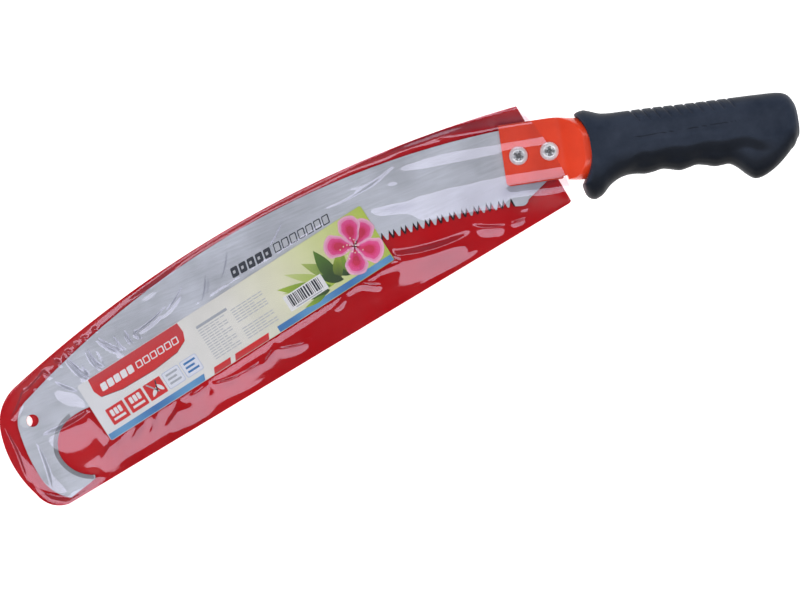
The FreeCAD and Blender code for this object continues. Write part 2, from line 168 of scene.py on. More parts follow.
class Surface:
    """A node material on the Principled shader, with short calls for the nodes that surfaces need."""

    def __init__(self, name, **sockets):
        self.material = bpy.data.materials.new(name)
        self.material.use_nodes = True
        self.tree = self.material.node_tree
        self.shader = self.tree.nodes["Principled BSDF"]
        for socket, value in sockets.items():
            self.shader.inputs[socket.replace("_", " ")].default_value = value

    def node(self, kind, **values):
        node = self.tree.nodes.new(kind)
        for key, value in values.items():
            setattr(node, key, value)
        return node

    def link(self, source, target):
        self.tree.links.new(source, target)

    def place(self, scale=(1, 1, 1), turn=0.0, shift=(0, 0, 0)):
        """Object coordinates in metres, turned about Z by turn degrees, shifted and then scaled."""
        coordinates = self.node("ShaderNodeTexCoord")
        turned = self.node("ShaderNodeMapping", vector_type="POINT")
        turned.inputs["Location"].default_value = shift
        turned.inputs["Rotation"].default_value = (0, 0, math.radians(turn))
        scaled = self.node("ShaderNodeMapping", vector_type="POINT")
        scaled.inputs["Scale"].default_value = scale
        self.link(coordinates.outputs["Object"], turned.inputs["Vector"])
        self.link(turned.outputs["Vector"], scaled.inputs["Vector"])
        return scaled.outputs["Vector"]

    def noise(self, scale, detail=3.0, vector=None, roughness=0.5):
        node = self.node("ShaderNodeTexNoise")
        node.inputs["Scale"].default_value = scale
        node.inputs["Detail"].default_value = detail
        node.inputs["Roughness"].default_value = roughness
        self.link(vector or self.place(), node.inputs["Vector"])
        return node.outputs["Fac"]

    def ramp(self, factor, *stops):
        node = self.node("ShaderNodeValToRGB")
        elements = node.color_ramp.elements
        while len(elements) < len(stops):
            elements.new(0.5)
        for element, (position, colour) in zip(elements, stops):
            element.position = position
            element.color = (*colour, 1) if len(colour) == 3 else colour
        self.link(factor, node.inputs["Fac"])
        return node.outputs["Color"]

    def grey(self, factor, *stops):
        return self.ramp(factor, *[(position, (value,) * 3) for position, value in stops])

    def blend(self, factor, first, second, mode="MIX"):
        node = self.node("ShaderNodeMix", data_type="RGBA", blend_type=mode)
        for index, value in ((0, factor), (6, first), (7, second)):
            socket = node.inputs[index]
            if isinstance(value, bpy.types.NodeSocket):
                self.link(value, socket)
            else:
                socket.default_value = value if isinstance(value, float) else (*value, 1)
        return node.outputs[2]

    def bump(self, height, strength, distance):
        node = self.node("ShaderNodeBump")
        node.inputs["Strength"].default_value = strength
        node.inputs["Distance"].default_value = distance
        self.link(height, node.inputs["Height"])
        before = self.shader.inputs["Normal"]
        if before.is_linked:
            self.link(before.links[0].from_socket, node.inputs["Normal"])
        self.link(node.outputs["Normal"], before)

    def tilt(self, axis):
        """How far the face itself looks along an axis: 1 straight along it, 0 square to it, -1 away."""
        return self.axes(self.node("ShaderNodeNewGeometry").outputs["True Normal"])[axis]

    def axes(self, vector):
        split = self.node("ShaderNodeSeparateXYZ")
        self.link(vector, split.inputs[0])
        return split.outputs

    def maths(self, operation, *values):
        """The result of a maths node; each value is a number or another node's output."""
        node = self.node("ShaderNodeMath", operation=operation)
        for socket, value in zip(node.inputs, values):
            if isinstance(value, bpy.types.NodeSocket):
                self.link(value, socket)
            else:
                socket.default_value = value
        return node.outputs[0]

    def share(self, value, low, high, **values):
        """0 where the value is at low, 1 where it is at high."""
        node = self.node("ShaderNodeMapRange", **values)
        node.inputs["From Min"].default_value = low
        node.inputs["From Max"].default_value = high
        self.link(value, node.inputs["Value"])
        return node.outputs[0]

    def combine(self, factor, first, second):
        """Two shaders mixed, from the first at factor 0 to the second at factor 1."""
        node = self.node("ShaderNodeMixShader")
        for socket, value in zip(node.inputs, (factor, first, second)):
            self.link(value, socket)
        return node.outputs[0]

    def set(self, socket, source):
        self.link(source, self.shader.inputs[socket])


def steel_surface():
    """Blade steel: pale, ground along its length, with cloudy patches, and painted shade that makes it dark
    on its cut edges.
    """
    surface = Surface("ground_steel", Metallic=0.45)
    along = surface.place(scale=(14, 260, 120), turn=-14)
    grain = surface.noise(3.0, 6.0, along, 0.65)
    cloud = surface.noise(28.0, 3.0)
    base = surface.ramp(grain, (0.3, (0.52, 0.55, 0.61)), (0.7, (0.67, 0.70, 0.77)))
    stains = surface.grey(cloud, (0.38, 0.78), (0.62, 1.0))
    plate = surface.blend(1.0, base, stains, "MULTIPLY")
    # Painted shade: faces that turn away from Z, such as the cut edges and the teeth's gullets, are darkened
    # by their tilt alone.
    level = surface.maths("ABSOLUTE", surface.tilt("Z"))
    cut = surface.grey(level, (0.60, 0.05), (0.90, 0.42), (0.965, 0.55), (0.99, 1.0))
    surface.set("Base Color", surface.blend(1.0, plate, cut, "MULTIPLY"))
    surface.set("Roughness", surface.grey(grain, (0.3, 0.36), (0.7, 0.5)))
    surface.bump(grain, 0.25, 0.00008)
    return surface.material


def paint_surface():
    """Orange-red powder paint on the ferrule, glossy over a slight orange peel."""
    surface = Surface("orange_gloss_paint", Coat_Weight=0.3, Coat_Roughness=0.08, Roughness=0.3)
    peel = surface.noise(900.0, 2.0)
    shade = surface.noise(60.0, 3.0)
    paint_tone = surface.ramp(shade, (0.3, (0.76, 0.040, 0.006)), (0.7, (0.88, 0.054, 0.010)))
    surface.set("Base Color", paint_tone)
    surface.bump(peel, 0.12, 0.00005)
    return surface.material


CROSS_WIDTH = 0.85       # half width of each bar of the cross recess
CROSS_REACH = 3.3
CROSS_BLUR = 0.25


def chrome_surface(screw, turn):
    """Bright zinc plating with fine handling marks, and shadow in the screw head's cross recess."""
    surface = Surface("bright_zinc_" + screw, Metallic=0.3)
    marks = surface.noise(420.0, 5.0)
    plating = surface.ramp(marks, (0.3, (0.80, 0.82, 0.86)), (0.7, (0.95, 0.96, 0.98)))
    low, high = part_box(screw)
    middle = Matrix.Rotation(math.radians(turn), 3, "Z") @ ((low + high) / 2)
    split = surface.axes(surface.place(turn=turn, shift=(-middle.x, -middle.y, 0)))
    bars = []
    for along, across in (("X", "Y"), ("Y", "X")):
        sides = [
            surface.share(
                surface.maths("ABSOLUTE", split[axis]),
                (half + CROSS_BLUR) * MM,
                (half - CROSS_BLUR) * MM,
                interpolation_type="SMOOTHSTEP",
            )
            for axis, half in ((along, CROSS_REACH), (across, CROSS_WIDTH))
        ]
        bars.append(surface.maths("MULTIPLY", *sides))
    cross = surface.maths("MAXIMUM", *bars)
    shade = surface.grey(cross, (0.0, 1.0), (1.0, 0.32))
    surface.set("Base Color", surface.blend(1.0, plating, shade, "MULTIPLY"))
    surface.set("Roughness", surface.grey(marks, (0.3, 0.10), (0.75, 0.24)))
    surface.bump(marks, 0.15, 0.00005)
    return surface.material


def zinc_surface():
    """Duller zinc on the nuts and spring washers."""
    surface = Surface("dull_zinc", Metallic=1.0)
    spangle = surface.noise(260.0, 4.0)
    tone = surface.ramp(spangle, (0.3, (0.55, 0.56, 0.57)), (0.7, (0.74, 0.75, 0.76)))
    surface.set("Base Color", tone)
    surface.set("Roughness", surface.grey(spangle, (0.3, 0.28), (0.7, 0.46)))
    surface.bump(spangle, 0.2, 0.00008)
    return surface.material


def rubber_surface():
    """Blue-black moulded rubber with a fine grain and dusty spots, and painted shade that makes it darker
    underneath and on top.
    """
    surface = Surface("black_rubber_grain", Specular_IOR_Level=0.12)
    fine = surface.noise(1500.0, 3.0)
    dust = surface.noise(45.0, 5.0, roughness=0.65)
    skin = surface.ramp(dust, (0.3, (0.018, 0.026, 0.045)), (0.75, (0.036, 0.047, 0.074)))
    # Painted shade: faces that look towards -Y are darkened most and those towards +Y to about half, by
    # their tilt alone.
    upward = surface.share(surface.tilt("Y"), -1.0, 1.0)
    sides = surface.grey(upward, (0.10, 0.12), (0.34, 0.38), (0.47, 1.0), (0.80, 1.0), (0.97, 0.5))
    surface.set("Base Color", surface.blend(1.0, skin, sides, "MULTIPLY"))
    surface.set("Roughness", surface.grey(dust, (0.3, 0.42), (0.7, 0.56)))
    surface.bump(fine, 0.35, 0.00012)
    return surface.material


def red_pvc_surface():
    """Deep red sheath panel, glossy, with a faint calendered texture."""
    surface = Surface("red_pvc_sheet", Roughness=0.14, Specular_IOR_Level=0.25)
    calender = surface.noise(700.0, 2.0)
    tone = surface.noise(18.0, 3.0)
    red = surface.ramp(tone, (0.35, (0.50, 0.0030, 0.0060)), (0.65, (0.60, 0.0055, 0.0095)))
    surface.set("Base Color", red)
    surface.bump(calender, 0.1, 0.00004)
    return surface.material


def clear_film_surface():
    """Clear PVC: see-through, a little hazy, with painted shade that makes it deeper in its steep folds, and
    a mirror-like sheen.
    """
    surface = Surface("clear_pvc_film")
    surface.tree.nodes.remove(surface.shader)
    output = next(node for node in surface.tree.nodes if node.type == "OUTPUT_MATERIAL")
    facing = surface.node("ShaderNodeLayerWeight")
    facing.inputs["Blend"].default_value = 0.5
    grazing = surface.maths("POWER", facing.outputs["Facing"], 5.0)
    sheen = surface.maths("MULTIPLY_ADD", grazing, 0.9, 0.060)
    # Painted shade: steep faces of the film let less light through, by their tilt from Z alone.
    fold_shade = surface.ramp(
        surface.maths("ABSOLUTE", surface.tilt("Z")),
        (0.80, (0.82, 0.82, 0.85)),
        (0.94, (0.92, 0.92, 0.94)),
        (0.985, (0.99, 0.99, 0.995)),
    )
    see_through = surface.node("ShaderNodeBsdfTransparent")
    surface.link(fold_shade, see_through.inputs["Color"])
    haze = surface.node("ShaderNodeBsdfDiffuse")
    haze.inputs["Color"].default_value = (0.85, 0.86, 0.92, 1)
    haze_amount = surface.grey(surface.noise(55.0, 4.0), (0.35, 0.0), (0.75, 0.006))
    body = surface.combine(haze_amount, see_through.outputs[0], haze.outputs[0])
    gloss = surface.node("ShaderNodeBsdfAnisotropic")
    gloss.inputs["Color"].default_value = (0.84, 0.80, 1.0, 1)
    gloss.inputs["Roughness"].default_value = 0.05
    surface.link(surface.combine(sheen, body, gloss.outputs[0]), output.inputs["Surface"])
    return surface.material


CARD_MIDDLE = TOE + np.array([140.5, 42.5])
CARD_ANGLE = 24.1
CARD_LENGTH = 215.0
CARD_WIDTH = 41.2


def card_surface():
    """Coated card: white at one end, washing out into a pale yellow-green towards the other."""
    surface = Surface("coated_card", Roughness=0.35)
    middle = Vector((*CARD_MIDDLE, 0)) * MM + origin
    turned = Matrix.Rotation(math.radians(-CARD_ANGLE), 3, "Z") @ Vector((middle.x, middle.y, 0))
    along = surface.axes(surface.place(turn=-CARD_ANGLE, shift=(-turned.x, -turned.y, 0)))["X"]
    patchy = surface.noise(50.0, 2.0)
    wash = surface.ramp(
        surface.share(along, -CARD_LENGTH / 2 * MM, CARD_LENGTH / 2 * MM),
        (0.0, (0.80, 0.81, 0.83)),
        (0.50, (0.81, 0.80, 0.74)),
        (0.68, (0.80, 0.80, 0.58)),
        (0.86, (0.68, 0.74, 0.32)),
        (1.0, (0.48, 0.60, 0.08)),
    )
    cloud = surface.grey(patchy, (0.3, 0.92), (0.7, 1.0))
    surface.set("Base Color", surface.blend(1.0, wash, cloud, "MULTIPLY"))
    surface.bump(surface.noise(2500.0, 2.0), 0.06, 0.00002)
    return surface.material


def print_surface(name, roughness):
    """Printed ink: takes each patch's colour from the mesh and breaks it up with a fine screen."""
    surface = Surface(name, Roughness=roughness)
    ink = surface.node("ShaderNodeVertexColor", layer_name="ink")
    screen = surface.grey(surface.noise(1800.0, 2.0), (0.3, 0.9), (0.7, 1.0))
    surface.set("Base Color", surface.blend(1.0, ink.outputs["Color"], screen, "MULTIPLY"))
    return surface.material


steel = steel_surface()
paint = paint_surface()
zinc = zinc_surface()
rubber = rubber_surface()
red_pvc = red_pvc_surface()
clear_film = clear_film_surface()
coated_card = card_surface()
card_ink = print_surface("card_ink", 0.4)
blade_ink = print_surface("blade_ink", 0.5)

carried_over = {
    "blade": steel,
    "screw_front": chrome_surface("screw_front", 30),
    "screw_rear": chrome_surface("screw_rear", 12),
    "washer_front": zinc,
    "washer_rear": zinc,
    "nut_front": zinc,
    "nut_rear": zinc,
    "label_card": coated_card,
}
for node_name, material in carried_over.items():
    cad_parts[node_name].data.materials.clear()
    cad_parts[node_name].data.materials.append(material)


# ---- Ferrule -------------------------------------------------------------------------------------

CHEEK_BOTTOM = -17.0
CHEEK_REAR = -19.0
CHEEK_CORNER = 3.0
CHEEK_FACE = 2.3
SOCKET_WALL = 13.5
FACET_START = -16.5
FACET_SLOPE = 0.85
FACET_BEND = 3.0
FERRULE_END = 9.0


def rounded_interp(x, xs, ys, half_width):
    """A line through the points with its corners rounded over half_width."""
    return np.mean(np.interp(x + np.linspace(-half_width, half_width, 15), xs, ys))


def ferrule_profile(x):
    """Top, bottom, bottom edge radius and the pressed facet's height at x."""
    top = rounded_interp(
        x,
        [CHEEK_FRONT, CHEEK_REAR, -4, 1, FERRULE_END],
        [CHEEK_TOP, CHEEK_TOP, 20.1, 19.5, 19.4],
        3.0,
    )
    bottom = rounded_interp(
        x,
        [CHEEK_REAR, -18.6, -18.2, -15.6, -15.2, -9, -4, FERRULE_END],
        [CHEEK_BOTTOM, CHEEK_BOTTOM, -15.4, -15.4, -18.2, -19.3, -19.5, -19.4],
        np.interp(x, [-15, -10], [0.1, 2.0]),
    )
    into_corner = np.clip(CHEEK_FRONT + CHEEK_CORNER - x, 0, CHEEK_CORNER)
    bottom = bottom + CHEEK_CORNER - np.sqrt(CHEEK_CORNER ** 2 - into_corner ** 2)
    edge = rounded_interp(x, [-20, -14, -8], [0.9, 4.0, SOCKET_WALL], 2.0)
    along = x - FACET_START
    facet = CHEEK_FACE + FACET_SLOPE * (along + math.hypot(along, FACET_BEND)) / 2
    return top, bottom, edge, facet


def make_ferrule_shell():
    front = CHEEK_FRONT + CHEEK_CORNER * (1 - np.cos(np.linspace(0, math.pi / 2, 9)))
    cheek = np.linspace(-51, -20, 16)
    stations = np.concatenate([front, cheek, np.linspace(-19.6, FERRULE_END, 84)])
    half_count = 60
    loops = []
    for x in stations:
        top, bottom, edge, facet = (float(value) for value in ferrule_profile(x))
        swing = np.linspace(0, math.pi, half_count)
        y = (top + bottom) / 2 + (top - bottom) / 2 * np.cos(swing)
        from_top = np.clip(SOCKET_WALL - (top - y), 0, SOCKET_WALL)
        from_bottom = np.clip(edge - (y - bottom), 0, edge)
        wall = np.sqrt(np.clip(SOCKET_WALL ** 2 - from_top ** 2, 0, None))
        low_wall = np.sqrt(np.clip(edge ** 2 - from_bottom ** 2, 0, None)) * SOCKET_WALL / edge
        wall = np.minimum(wall, low_wall)
        crease = 0.35
        gap = np.abs(wall - facet)
        soft = np.minimum(wall, facet) - crease * np.exp(-gap / crease) * 0.5
        height = np.clip(soft, 0, None)
        height[0] = height[-1] = 0
        front_half = np.stack([np.full(half_count, x), y, height], 1)
        back_half = (front_half * [1, 1, -1])[-2:0:-1]
        loops.append(np.concatenate([front_half, back_half]))
    columns = len(loops[0])
    points = np.concatenate(loops)
    faces = grid_faces(len(loops), columns, wrap=True)
    faces.append(tuple(range(columns - 1, -1, -1)))
    last = (len(loops) - 1) * columns
    faces.append(tuple(range(last, last + columns)))
    shell = make_piece("ferrule_shell", points, faces, paint, "saw", sharp=50)
    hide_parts("ferrule")


make_ferrule_shell()


# ---- Grip ----------------------------------------------------------------------------------------

GRIP_FRONT = -6.5
GRIP_LENGTH = 142.0
MOUTH_RADIUS = 38.0
MOUTH_X = 1.0
SOCKET_HALF_Y = 19.6
SOCKET_HALF_Z = 13.6

# Share of the length, top, bottom and half thickness: the guard lip, finger hollows, butt and its end.
GRIP_STATIONS = np.array([
    (0.049, 24.4, -33.2, 18.6),
    (0.080, 22.8, -31.2, 17.9),
    (0.115, 20.9, -26.4, 16.9),
    (0.152, 20.2, -23.0, 16.4),
    (0.201, 20.0, -20.9, 16.1),
    (0.245, 19.9, -20.9, 16.0),
    (0.285, 19.8, -21.7, 16.0),
    (0.325, 19.7, -21.2, 16.0),
    (0.363, 19.6, -20.3, 16.0),
    (0.402, 19.4, -21.4, 16.0),
    (0.440, 19.2, -22.8, 16.0),
    (0.480, 19.0, -22.0, 16.0),
    (0.518, 18.9, -20.9, 16.0),
    (0.560, 18.7, -22.0, 16.0),
    (0.600, 18.6, -23.6, 16.0),
    (0.635, 18.5, -23.5, 16.0),
    (0.665, 18.4, -23.4, 16.0),
    (0.700, 18.3, -26.4, 16.1),
    (0.735, 18.2, -31.4, 16.3),
    (0.770, 18.1, -35.0, 16.3),
    (0.800, 18.0, -34.8, 16.2),
    (0.840, 17.8, -32.5, 15.9),
    (0.885, 17.6, -28.4, 15.5),
    (0.920, 17.2, -24.2, 15.0),
    (0.945, 16.4, -20.8, 14.4),
    (0.968, 14.4, -17.8, 12.9),
    (0.984, 11.0, -13.9, 10.6),
    (0.995, 6.6, -11.4, 7.2),
    (1.000, 1.0, -8.0, 2.6),
])
GROOVES = 10
GROOVE_FIRST = 30.0
GROOVE_PITCH = 6.8
GROOVE_LEAN = math.tan(math.radians(28))
GROOVE_TOP = 19.6
FINGER_X = 51.5
FINGER_PITCH = 23.0


def smooth_curve(x, xs, ys):
    """A cubic through each pair of points, with the slopes taken from the points around them."""
    slopes = np.gradient(ys, xs)
    index = np.clip(np.searchsorted(xs, x) - 1, 0, len(xs) - 2)
    width = xs[index + 1] - xs[index]
    t = (x - xs[index]) / width
    return (
        (1 + 2 * t) * (1 - t) ** 2 * ys[index]
        + t * (1 - t) ** 2 * width * slopes[index]
        + t * t * (3 - 2 * t) * ys[index + 1]
        + t * t * (t - 1) * width * slopes[index + 1]
    )


def squircle(angles, middle, half_y, half_z, power):
    """Rounded section: Y and Z of points at the given angles."""
    across, up = np.cos(angles), np.sin(angles)
    reach = (np.abs(across) ** power + np.abs(up) ** power) ** (-1 / power)
    return middle + half_y * across * reach, half_z * up * reach


def make_grip():
    count = 176
    angles = np.linspace(0, 2 * math.pi, count, endpoint=False)
    socket_y, socket_z = squircle(angles, 0.0, SOCKET_HALF_Y, SOCKET_HALF_Z, 2.6)
    share, top, bottom, half = GRIP_STATIONS.T
    station_x = GRIP_FRONT + share * GRIP_LENGTH
    lip_middle, lip_half = (top[0] + bottom[0]) / 2, (top[0] - bottom[0]) / 2
    lip_y, lip_z = squircle(angles, lip_middle, lip_half, half[0], 2.4)
    loops = []
    for depth in (14.0, 7.0, 2.0):
        loops.append(np.stack([np.full(count, depth), socket_y, socket_z], 1))
    for turn in np.linspace(0, math.pi / 2, 16)[:-1]:
        out = math.sin(turn) ** 0.8
        y = socket_y + (lip_y - socket_y) * out
        z = socket_z + (lip_z - socket_z) * out
        hollow = MOUTH_X - MOUTH_RADIUS + np.sqrt(np.clip(MOUTH_RADIUS ** 2 - y ** 2, 0, None))
        hollow = np.maximum(hollow, GRIP_FRONT)
        x = hollow + (station_x[0] - hollow) * (1 - math.cos(turn)) ** 1.3
        loops.append(np.stack([x, y, z], 1))
    first_grip_row = len(loops)
    ends = GRIP_FRONT + GRIP_LENGTH * (1 - 0.045 * (1 - np.sin(np.linspace(0, math.pi / 2, 26))))
    for x in np.concatenate([np.linspace(station_x[0], ends[0], 250)[:-1], ends]):
        high, low, thick = (float(smooth_curve(x, station_x, column)) for column in (top, bottom, half))
        power = np.interp(x, [0, 12, 125, 135], [2.4, 2.7, 2.7, 2.2])
        y, z = squircle(angles, (high + low) / 2, (high - low) / 2, thick, power)
        loops.append(np.stack([np.full(count, x), y, z], 1))
    points = np.concatenate(loops)
    skin = np.arange(len(points)) >= first_grip_row * count
    x, y, z = points.T
    side = np.sign(z)

    fingers = 0.5 + 0.5 * np.cos((x - FINGER_X) / FINGER_PITCH * 2 * math.pi)
    scallop_top = -8.0 + 1.2 * fingers - 4.0 * (1 - smoothstep(22, 34, x)) - 3.0 * smoothstep(96, 112, x)
    under = smoothstep(0, 9.0, scallop_top - y) * smoothstep(14, 30, x) * (1 - smoothstep(104, 118, x))
    z = z - side * np.minimum(np.abs(z) * 0.24, 2.4) * under * skin

    lean_x = x - (GROOVE_TOP - y) * GROOVE_LEAN
    nearest = np.clip(np.round((lean_x - GROOVE_FIRST) / GROOVE_PITCH), 0, GROOVES - 1)
    off = np.abs(lean_x - GROOVE_FIRST - nearest * GROOVE_PITCH)
    cut = (1 - smoothstep(0.35, 1.15, off)) * smoothstep(10.5, 13.0, y) * skin
    y = y - 1.0 * cut * smoothstep(13, 19, y)
    z = z - side * 0.9 * cut * (1 - smoothstep(17, GROOVE_TOP, y))

    parting = np.exp(-((y - 1.8 - (x - 67) * 0.012) / 0.35) ** 2) * smoothstep(22, 28, x)
    parting = parting * (1 - smoothstep(104, 110, x)) * skin
    z = z - side * 0.22 * parting
    points = np.stack([x, y, z], 1)

    rows = len(loops)
    faces = grid_faces(rows, count, wrap=True)
    faces.append(tuple(range(count - 1, -1, -1)))
    last = (rows - 1) * count
    faces.append(tuple(range(last, last + count)))
    grip = make_piece("grip_moulding", points, faces, rubber, "saw", sharp=60)
    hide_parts("grip")


make_grip()


# ---- Sheath --------------------------------------------------------------------------------------

NOSE = TOE + np.array([-18.7, -3.0])
SEAM_TOP = TOE + np.array([-4.0, 23.8])
SEAM_LOW = TOE + np.array([-2.0, -47.0])
SEAM_BOTTOM = TOE + np.array([18.0, -56.2])
MOUTH_TOP = np.array([-41.5, 33.3])
MOUTH_BOTTOM = np.array([-13.2, -31.7])
SHEATH_HOLE = TOE + np.array([2.7 - 4.3, 0.0])
HOLE_RADIUS = 4.0
WELD = 2.0
WELD_BEAD = 0.10
FILM_GAP = 0.04           # between each panel and the blade's middle plane, at the weld

upper_seam = np.concatenate([
    arc_points(NOSE, TOE + np.array([-15.0, 12.4]), SEAM_TOP, 40),
    arc_points(SEAM_TOP, rise(SEAM_TOP, MOUTH_TOP, 21.7), MOUTH_TOP, 200)[1:],
])
lower_seam = np.concatenate([
    arc_points(NOSE, TOE + np.array([-14.2, -26.0]), SEAM_LOW, 40),
    arc_points(SEAM_LOW, TOE + np.array([6.0, -54.6]), SEAM_BOTTOM, 24)[1:],
    np.linspace(SEAM_BOTTOM, MOUTH_BOTTOM, 200)[1:],
])


class Field:
    """A height over the sheath's area, kept on a square grid of 1 mm cells."""

    def __init__(self):
        self.x0, self.y0 = -402.0, -182.0
        self.columns, self.rows = 400, 224
        self.x = self.x0 + np.arange(self.columns)
        self.y = self.y0 + np.arange(self.rows)
        self.gx, self.gy = np.meshgrid(self.x, self.y)

    def inside(self, outline):
        hit = np.zeros(self.gx.shape, bool)
        for (ax, ay), (bx, by) in zip(outline, np.roll(outline, -1, 0)):
            if ay == by:
                continue
            crosses = (ay > self.gy) != (by > self.gy)
            hit ^= crosses & (self.gx < (bx - ax) * (self.gy - ay) / (by - ay) + ax)
        return hit

    def distance(self, line):
        near = np.full(self.gx.shape, 1e9)
        for px, py in line:
            near = np.minimum(near, (self.gx - px) ** 2 + (self.gy - py) ** 2)
        return np.sqrt(near)

    def sample(self, field, x, y):
        fx = np.clip((x - self.x0), 0, self.columns - 1.001)
        fy = np.clip((y - self.y0), 0, self.rows - 1.001)
        ix, iy = fx.astype(int), fy.astype(int)
        tx, ty = fx - ix, fy - iy
        low = field[iy, ix] * (1 - tx) + field[iy, ix + 1] * tx
        high = field[iy + 1, ix] * (1 - tx) + field[iy + 1, ix + 1] * tx
        return low * (1 - ty) + high * ty


area = Field()
seam_line = np.concatenate([upper_seam, lower_seam])
past_mouth = np.array([[20.0, 45.0], [20.0, -20.0]])
outline = np.concatenate([upper_seam, past_mouth, lower_seam[::-1]])
within = area.inside(outline)
from_seam = area.distance(resample(upper_seam, 500))
from_seam = np.minimum(from_seam, area.distance(resample(lower_seam, 500)))


def stand_off(names, sign):
    """How far the named nodes reach from the blade's middle towards one side, cell by cell, in mm."""
    reach = np.zeros(area.gx.shape)
    for name in names:
        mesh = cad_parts[name].data
        tree = BVHTree.FromPolygons([v.co for v in mesh.vertices], [p.vertices for p in mesh.polygons])
        low, high = ((corner - origin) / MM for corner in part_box(name))
        columns = np.nonzero((area.x >= low.x) & (area.x <= high.x))[0]
        rows = np.nonzero((area.y >= low.y) & (area.y <= high.y))[0]
        for row in rows:
            for column in columns:
                start = Vector((area.x[column], area.y[row], sign * 60)) * MM + origin
                hit = tree.ray_cast(start, Vector((0, 0, -sign)))[0]
                if hit is not None:
                    height = sign * (hit.z - origin.z) / MM
                    reach[row, column] = max(reach[row, column], height)
    return reach


def neighbours(field):
    """The field moved by one cell in each of the four directions."""
    return [np.roll(field, step, axis) for axis in (0, 1) for step in (1, -1)]


def spread(field, steps):
    """Each cell takes the highest of its neighbours, steps times over."""
    for _ in range(steps):
        field = np.maximum.reduce([field, *neighbours(field)])
    return field


def soften(field, steps):
    for _ in range(steps):
        field = sum(neighbours(field), 4 * field) / 8
    return field


def drape(reach, clearance, rest, tent, steps):
    """A sheet held at the seams that lies on what it covers and on the tent, and sinks to rest elsewhere."""
    wide = spread(reach, 2)
    support = np.maximum(np.where(wide > 0, wide + clearance, 0), tent)
    floor = np.maximum(support, rest * smoothstep(WELD, WELD + 16, from_seam))
    free = within & (from_seam > WELD)
    sheet = np.where(free, floor, 0)
    for _ in range(steps):
        around = sum(neighbours(sheet)) / 4
        sheet = np.where(free, np.maximum(around, floor), 0)
        sheet[:, -1] = sheet[:, -2]
    return soften(sheet, 5)


# Where the clear film stands off the screws and the ferrule, and how that dies away along the blade:
# X of each station, then Y values with the film's height there.
MOUTH_Y = (-34, -23, -16, -9.5, -4, 6.2, 9.8, 22.5, 26.4, 28.4, 33)
MOUTH_Z = (0.1, 1.0, 4.6, 6.2, 6.5, 6.5, 5.7, 5.4, 1.2, 0.8, 0.1)
MOUTH_TENT = (
    (-185, (-60, -20, 10), (0.0, 0.0, 0.0)),
    (-150, (-44, -26, -22, -6, -2, 14, 20), (0.0, 0.9, 1.9, 2.1, 1.6, 0.9, 0.0)),
    (-127, (-40, -22, -18, -7, -2, 18, 23), (0.0, 1.2, 3.2, 3.6, 2.8, 1.3, 0.0)),
    (-110, (-38, -32, -14, 2, 6.5, 18, 22, 26), (0.0, 1.0, 4.6, 5.0, 4.1, 3.7, 1.2, 0.0)),
    (-90, (-36, -30, -12.3, 3, 8, 21, 25, 30), (0.0, 1.0, 5.2, 5.6, 4.6, 4.2, 1.2, 0.0)),
    (
        -60,
        (-36, -30, -11, -6, 4, 9, 22, 26, 28.4, 33),
        (0.0, 1.0, 5.6, 6.2, 6.4, 5.4, 5.0, 1.2, 0.7, 0.0),
    ),
    (-53, MOUTH_Y, MOUTH_Z),
    (-14, MOUTH_Y, MOUTH_Z),
)


def mouth_tent():
    lines = np.stack([np.interp(area.y, ys, heights) for _, ys, heights in MOUTH_TENT], 1)
    stations = [x for x, _, _ in MOUTH_TENT]
    where = np.interp(area.x, stations, np.arange(len(stations)))
    low = np.clip(where.astype(int), 0, len(stations) - 2)
    part = where - low
    return lines[:, low] * (1 - part) + lines[:, low + 1] * part


nothing = np.zeros(area.gx.shape)
front_reach = stand_off(["blade", "screw_front", "screw_rear", "ferrule", "label_card"], 1)
back_reach = stand_off(["blade", "screw_front", "screw_rear", "ferrule"], -1)
front_drape = drape(front_reach, 0.30, 1.00, mouth_tent(), 10)
back_drape = drape(back_reach, 0.30, 0.35, nothing, 260)

